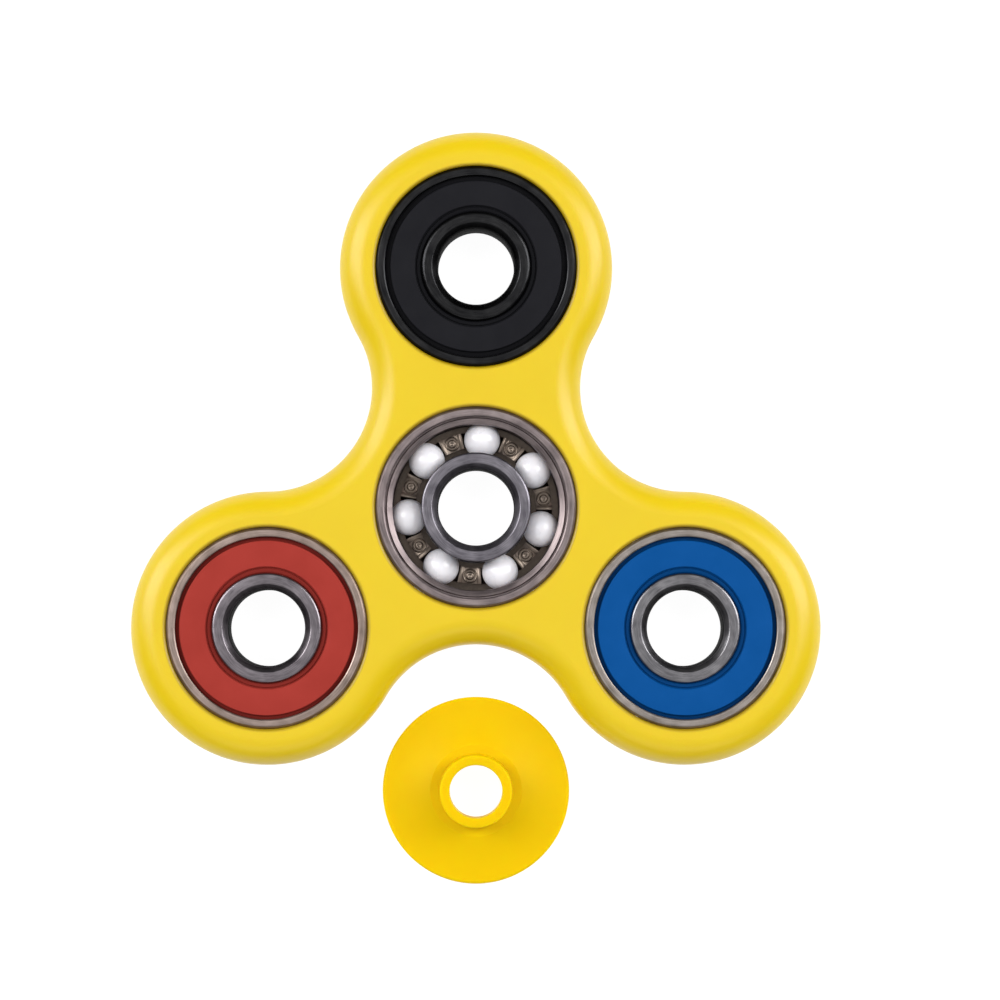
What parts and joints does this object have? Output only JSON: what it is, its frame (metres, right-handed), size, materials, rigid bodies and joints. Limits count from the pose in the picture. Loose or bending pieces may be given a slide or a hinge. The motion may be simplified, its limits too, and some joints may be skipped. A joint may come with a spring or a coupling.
{
  "type": "fidget spinner",
  "caption": "Three-lobed hand spinner with a ball bearing in its middle and in each lobe, and a loose finger cap lying beside it.",
  "frame": {"origin": "on the centre bearing's axis, in the plane that the spinner and its cap lie on", "axes": "+Z along the spin axis, up through the front face; +Y towards the lobe with the black bearing; +X to the right, towards the blue one"},
  "size_m": [0.0758, 0.0828, 0.007],
  "materials": {
    "yellow_abs": "moulded yellow ABS, satin gloss",
    "bearing_steel": "ground bearing steel",
    "black_oxide_steel": "black oxide on bearing steel, semi-gloss",
    "cage_steel": "pressed steel strip, oiled",
    "ball_steel": "polished steel",
    "white_zirconia": "polished white zirconia ceramic",
    "black_seal_rubber": "black nitrile rubber",
    "red_seal_rubber": "red nitrile rubber",
    "blue_seal_rubber": "blue nitrile rubber"
  },
  "bodies": {
    "spinner": {"spinner_body": "yellow_abs", "centre_outer_ring": "bearing_steel", "black_outer_ring": "black_oxide_steel", "red_outer_ring": "bearing_steel", "blue_outer_ring": "bearing_steel", "black_seal_front": "black_seal_rubber", "black_seal_rear": "black_seal_rubber", "red_seal_front": "red_seal_rubber", "red_seal_rear": "red_seal_rubber", "blue_seal_front": "blue_seal_rubber", "blue_seal_rear": "blue_seal_rubber", "centre_rear_shield": "cage_steel"},
    "centre_hub": {"centre_inner_ring": "bearing_steel"},
    "centre_roller_set": {"centre_cage": "cage_steel", "centre_rivet_1": "cage_steel", "centre_rivet_2": "cage_steel", "centre_rivet_3": "cage_steel", "centre_rivet_4": "cage_steel", "centre_rivet_5": "cage_steel", "centre_rivet_6": "cage_steel", "centre_rivet_7": "cage_steel"},
    "black_hub": {"black_inner_ring": "black_oxide_steel"},
    "black_roller_set": {"black_cage": "cage_steel"},
    "red_hub": {"red_inner_ring": "bearing_steel"},
    "red_roller_set": {"red_cage": "cage_steel"},
    "blue_hub": {"blue_inner_ring": "bearing_steel"},
    "blue_roller_set": {"blue_cage": "cage_steel"},
    "cap": {"finger_cap": "yellow_abs"},
    "centre_rolling_ball_1": {"centre_ball_1": "white_zirconia"},
    "centre_rolling_ball_2": {"centre_ball_2": "white_zirconia"},
    "centre_rolling_ball_3": {"centre_ball_3": "white_zirconia"},
    "centre_rolling_ball_4": {"centre_ball_4": "white_zirconia"},
    "centre_rolling_ball_5": {"centre_ball_5": "white_zirconia"},
    "centre_rolling_ball_6": {"centre_ball_6": "white_zirconia"},
    "centre_rolling_ball_7": {"centre_ball_7": "white_zirconia"},
    "black_rolling_ball_1": {"black_ball_1": "ball_steel"},
    "black_rolling_ball_2": {"black_ball_2": "ball_steel"},
    "black_rolling_ball_3": {"black_ball_3": "ball_steel"},
    "black_rolling_ball_4": {"black_ball_4": "ball_steel"},
    "black_rolling_ball_5": {"black_ball_5": "ball_steel"},
    "black_rolling_ball_6": {"black_ball_6": "ball_steel"},
    "black_rolling_ball_7": {"black_ball_7": "ball_steel"},
    "red_rolling_ball_1": {"red_ball_1": "ball_steel"},
    "red_rolling_ball_2": {"red_ball_2": "ball_steel"},
    "red_rolling_ball_3": {"red_ball_3": "ball_steel"},
    "red_rolling_ball_4": {"red_ball_4": "ball_steel"},
    "red_rolling_ball_5": {"red_ball_5": "ball_steel"},
    "red_rolling_ball_6": {"red_ball_6": "ball_steel"},
    "red_rolling_ball_7": {"red_ball_7": "ball_steel"},
    "blue_rolling_ball_1": {"blue_ball_1": "ball_steel"},
    "blue_rolling_ball_2": {"blue_ball_2": "ball_steel"},
    "blue_rolling_ball_3": {"blue_ball_3": "ball_steel"},
    "blue_rolling_ball_4": {"blue_ball_4": "ball_steel"},
    "blue_rolling_ball_5": {"blue_ball_5": "ball_steel"},
    "blue_rolling_ball_6": {"blue_ball_6": "ball_steel"},
    "blue_rolling_ball_7": {"blue_ball_7": "ball_steel"}
  },
  "joints": [
    {"name": "centre_spin", "type": "hinge", "parent": "spinner", "child": "centre_hub", "pos_m": [0, 0, 0.0035], "axis": [0, 0, 1], "continuous": true},
    {"name": "black_spin", "type": "hinge", "parent": "spinner", "child": "black_hub", "pos_m": [0, 0.0264, 0.0035], "axis": [0, 0, 1], "continuous": true},
    {"name": "red_spin", "type": "hinge", "parent": "spinner", "child": "red_hub", "pos_m": [-0.02286, -0.0132, 0.0035], "axis": [0, 0, 1], "continuous": true},
    {"name": "blue_spin", "type": "hinge", "parent": "spinner", "child": "blue_hub", "pos_m": [0.02286, -0.0132, 0.0035], "axis": [0, 0, 1], "continuous": true},
    {"name": "centre_cage_turn", "type": "hinge", "parent": "spinner", "child": "centre_roller_set", "pos_m": [0, 0, 0.0035], "axis": [0, 0, 1], "continuous": true},
    {"name": "black_cage_turn", "type": "hinge", "parent": "spinner", "child": "black_roller_set", "pos_m": [0, 0.0264, 0.0035], "axis": [0, 0, 1], "continuous": true},
    {"name": "red_cage_turn", "type": "hinge", "parent": "spinner", "child": "red_roller_set", "pos_m": [-0.02286, -0.0132, 0.0035], "axis": [0, 0, 1], "continuous": true},
    {"name": "blue_cage_turn", "type": "hinge", "parent": "spinner", "child": "blue_roller_set", "pos_m": [0.02286, -0.0132, 0.0035], "axis": [0, 0, 1], "continuous": true},
    {"name": "cap_fit", "type": "hinge", "parent": "spinner", "child": "cap", "pos_m": [0, -0.01555, 0.00473], "axis": [-1, 0, 0], "range_deg": [0, 180]},
    {"name": "centre_ball_1_roll", "type": "hinge", "parent": "centre_roller_set", "child": "centre_rolling_ball_1", "pos_m": [0.00067, 0.00747, 0.0035], "axis": [0, 0, 1], "continuous": true},
    {"name": "centre_ball_2_roll", "type": "hinge", "parent": "centre_roller_set", "child": "centre_rolling_ball_2", "pos_m": [0.00626, 0.00414, 0.0035], "axis": [0, 0, 1], "continuous": true},
    {"name": "centre_ball_3_roll", "type": "hinge", "parent": "centre_roller_set", "child": "centre_rolling_ball_3", "pos_m": [0.00713, -0.00231, 0.0035], "axis": [0, 0, 1], "continuous": true},
    {"name": "centre_ball_4_roll", "type": "hinge", "parent": "centre_roller_set", "child": "centre_rolling_ball_4", "pos_m": [0.00264, -0.00702, 0.0035], "axis": [0, 0, 1], "continuous": true},
    {"name": "centre_ball_5_roll", "type": "hinge", "parent": "centre_roller_set", "child": "centre_rolling_ball_5", "pos_m": [-0.00384, -0.00644, 0.0035], "axis": [0, 0, 1], "continuous": true},
    {"name": "centre_ball_6_roll", "type": "hinge", "parent": "centre_roller_set", "child": "centre_rolling_ball_6", "pos_m": [-0.00743, -0.00101, 0.0035], "axis": [0, 0, 1], "continuous": true},
    {"name": "centre_ball_7_roll", "type": "hinge", "parent": "centre_roller_set", "child": "centre_rolling_ball_7", "pos_m": [-0.00542, 0.00518, 0.0035], "axis": [0, 0, 1], "continuous": true},
    {"name": "black_ball_1_roll", "type": "hinge", "parent": "black_roller_set", "child": "black_rolling_ball_1", "pos_m": [0, 0.0339, 0.0035], "axis": [0, 0, 1], "continuous": true},
    {"name": "black_ball_2_roll", "type": "hinge", "parent": "black_roller_set", "child": "black_rolling_ball_2", "pos_m": [0.00586, 0.03108, 0.0035], "axis": [0, 0, 1], "continuous": true},
    {"name": "black_ball_3_roll", "type": "hinge", "parent": "black_roller_set", "child": "black_rolling_ball_3", "pos_m": [0.00731, 0.02473, 0.0035], "axis": [0, 0, 1], "continuous": true},
    {"name": "black_ball_4_roll", "type": "hinge", "parent": "black_roller_set", "child": "black_rolling_ball_4", "pos_m": [0.00325, 0.01964, 0.0035], "axis": [0, 0, 1], "continuous": true},
    {"name": "black_ball_5_roll", "type": "hinge", "parent": "black_roller_set", "child": "black_rolling_ball_5", "pos_m": [-0.00325, 0.01964, 0.0035], "axis": [0, 0, 1], "continuous": true},
    {"name": "black_ball_6_roll", "type": "hinge", "parent": "black_roller_set", "child": "black_rolling_ball_6", "pos_m": [-0.00731, 0.02473, 0.0035], "axis": [0, 0, 1], "continuous": true},
    {"name": "black_ball_7_roll", "type": "hinge", "parent": "black_roller_set", "child": "black_rolling_ball_7", "pos_m": [-0.00586, 0.03108, 0.0035], "axis": [0, 0, 1], "continuous": true},
    {"name": "red_ball_1_roll", "type": "hinge", "parent": "red_roller_set", "child": "red_rolling_ball_1", "pos_m": [-0.02936, -0.01695, 0.0035], "axis": [0, 0, 1], "continuous": true},
    {"name": "red_ball_2_roll", "type": "hinge", "parent": "red_roller_set", "child": "red_rolling_ball_2", "pos_m": [-0.02984, -0.01046, 0.0035], "axis": [0, 0, 1], "continuous": true},
    {"name": "red_ball_3_roll", "type": "hinge", "parent": "red_roller_set", "child": "red_rolling_ball_3", "pos_m": [-0.02507, -0.00603, 0.0035], "axis": [0, 0, 1], "continuous": true},
    {"name": "red_ball_4_roll", "type": "hinge", "parent": "red_roller_set", "child": "red_rolling_ball_4", "pos_m": [-0.01864, -0.007, 0.0035], "axis": [0, 0, 1], "continuous": true},
    {"name": "red_ball_5_roll", "type": "hinge", "parent": "red_roller_set", "child": "red_rolling_ball_5", "pos_m": [-0.01538, -0.01264, 0.0035], "axis": [0, 0, 1], "continuous": true},
    {"name": "red_ball_6_roll", "type": "hinge", "parent": "red_roller_set", "child": "red_rolling_ball_6", "pos_m": [-0.01776, -0.0187, 0.0035], "axis": [0, 0, 1], "continuous": true},
    {"name": "red_ball_7_roll", "type": "hinge", "parent": "red_roller_set", "child": "red_rolling_ball_7", "pos_m": [-0.02398, -0.02062, 0.0035], "axis": [0, 0, 1], "continuous": true},
    {"name": "blue_ball_1_roll", "type": "hinge", "parent": "blue_roller_set", "child": "blue_rolling_ball_1", "pos_m": [0.02936, -0.01695, 0.0035], "axis": [0, 0, 1], "continuous": true},
    {"name": "blue_ball_2_roll", "type": "hinge", "parent": "blue_roller_set", "child": "blue_rolling_ball_2", "pos_m": [0.02398, -0.02062, 0.0035], "axis": [0, 0, 1], "continuous": true},
    {"name": "blue_ball_3_roll", "type": "hinge", "parent": "blue_roller_set", "child": "blue_rolling_ball_3", "pos_m": [0.01776, -0.0187, 0.0035], "axis": [0, 0, 1], "continuous": true},
    {"name": "blue_ball_4_roll", "type": "hinge", "parent": "blue_roller_set", "child": "blue_rolling_ball_4", "pos_m": [0.01538, -0.01264, 0.0035], "axis": [0, 0, 1], "continuous": true},
    {"name": "blue_ball_5_roll", "type": "hinge", "parent": "blue_roller_set", "child": "blue_rolling_ball_5", "pos_m": [0.01864, -0.007, 0.0035], "axis": [0, 0, 1], "continuous": true},
    {"name": "blue_ball_6_roll", "type": "hinge", "parent": "blue_roller_set", "child": "blue_rolling_ball_6", "pos_m": [0.02507, -0.00603, 0.0035], "axis": [0, 0, 1], "continuous": true},
    {"name": "blue_ball_7_roll", "type": "hinge", "parent": "blue_roller_set", "child": "blue_rolling_ball_7", "pos_m": [0.02984, -0.01046, 0.0035], "axis": [0, 0, 1], "continuous": true}
  ],
  "couplings": [
    {"joint": "centre_cage_turn", "follows": "centre_spin", "ratio": 0.3677},
    {"joint": "black_cage_turn", "follows": "black_spin", "ratio": 0.3677},
    {"joint": "red_cage_turn", "follows": "red_spin", "ratio": 0.3677},
    {"joint": "blue_cage_turn", "follows": "blue_spin", "ratio": 0.3677},
    {"joint": "centre_ball_1_roll", "follows": "centre_spin", "ratio": -1.7573},
    {"joint": "centre_ball_2_roll", "follows": "centre_spin", "ratio": -1.7573},
    {"joint": "centre_ball_3_roll", "follows": "centre_spin", "ratio": -1.7573},
    {"joint": "centre_ball_4_roll", "follows": "centre_spin", "ratio": -1.7573},
    {"joint": "centre_ball_5_roll", "follows": "centre_spin", "ratio": -1.7573},
    {"joint": "centre_ball_6_roll", "follows": "centre_spin", "ratio": -1.7573},
    {"joint": "centre_ball_7_roll", "follows": "centre_spin", "ratio": -1.7573},
    {"joint": "black_ball_1_roll", "follows": "black_spin", "ratio": -1.7573},
    {"joint": "black_ball_2_roll", "follows": "black_spin", "ratio": -1.7573},
    {"joint": "black_ball_3_roll", "follows": "black_spin", "ratio": -1.7573},
    {"joint": "black_ball_4_roll", "follows": "black_spin", "ratio": -1.7573},
    {"joint": "black_ball_5_roll", "follows": "black_spin", "ratio": -1.7573},
    {"joint": "black_ball_6_roll", "follows": "black_spin", "ratio": -1.7573},
    {"joint": "black_ball_7_roll", "follows": "black_spin", "ratio": -1.7573},
    {"joint": "red_ball_1_roll", "follows": "red_spin", "ratio": -1.7573},
    {"joint": "red_ball_2_roll", "follows": "red_spin", "ratio": -1.7573},
    {"joint": "red_ball_3_roll", "follows": "red_spin", "ratio": -1.7573},
    {"joint": "red_ball_4_roll", "follows": "red_spin", "ratio": -1.7573},
    {"joint": "red_ball_5_roll", "follows": "red_spin", "ratio": -1.7573},
    {"joint": "red_ball_6_roll", "follows": "red_spin", "ratio": -1.7573},
    {"joint": "red_ball_7_roll", "follows": "red_spin", "ratio": -1.7573},
    {"joint": "blue_ball_1_roll", "follows": "blue_spin", "ratio": -1.7573},
    {"joint": "blue_ball_2_roll", "follows": "blue_spin", "ratio": -1.7573},
    {"joint": "blue_ball_3_roll", "follows": "blue_spin", "ratio": -1.7573},
    {"joint": "blue_ball_4_roll", "follows": "blue_spin", "ratio": -1.7573},
    {"joint": "blue_ball_5_roll", "follows": "blue_spin", "ratio": -1.7573},
    {"joint": "blue_ball_6_roll", "follows": "blue_spin", "ratio": -1.7573},
    {"joint": "blue_ball_7_roll", "follows": "blue_spin", "ratio": -1.7573}
  ]
}
